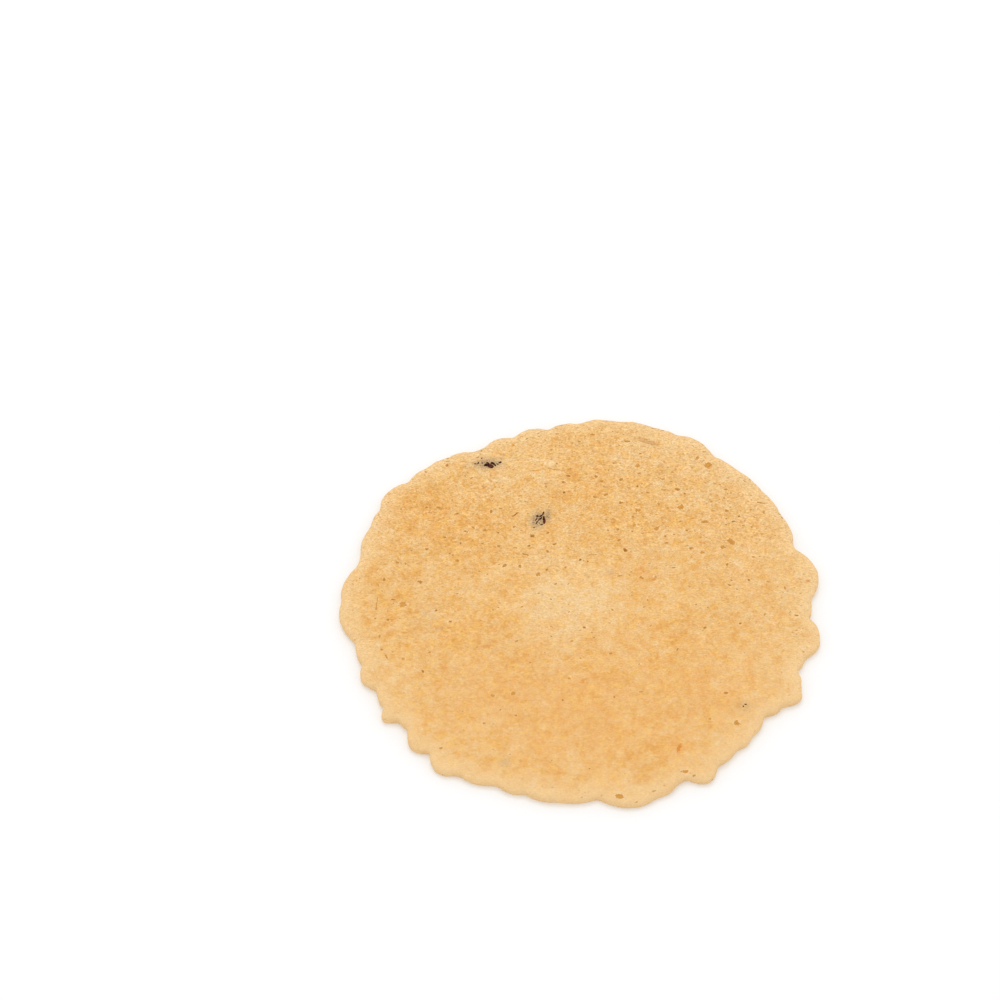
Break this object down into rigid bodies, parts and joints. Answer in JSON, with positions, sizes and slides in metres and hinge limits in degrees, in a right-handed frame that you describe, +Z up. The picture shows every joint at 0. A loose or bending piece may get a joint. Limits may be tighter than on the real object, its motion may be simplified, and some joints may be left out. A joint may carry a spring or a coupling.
{
  "type": "thin oat cookie",
  "caption": "Thin, crisp, round oat cookie, pressed flat, with an uneven lobed edge, small burst bubbles and a few dark seeds baked into its top.",
  "frame": {"origin": "centre of the bounding box in plan, on the flat underside at z = 0", "axes": "+Z up through the cookie's thickness; -Y is the side nearest the camera in the picture, +X its right"},
  "size_m": [0.0826, 0.0826, 0.0025],
  "materials": {
    "baked_dough": "matte, dry baked crust, golden tan with paler lobes round the edge"
  },
  "bodies": {
    "root": {"cookie": "baked_dough"}
  },
  "joints": []
}
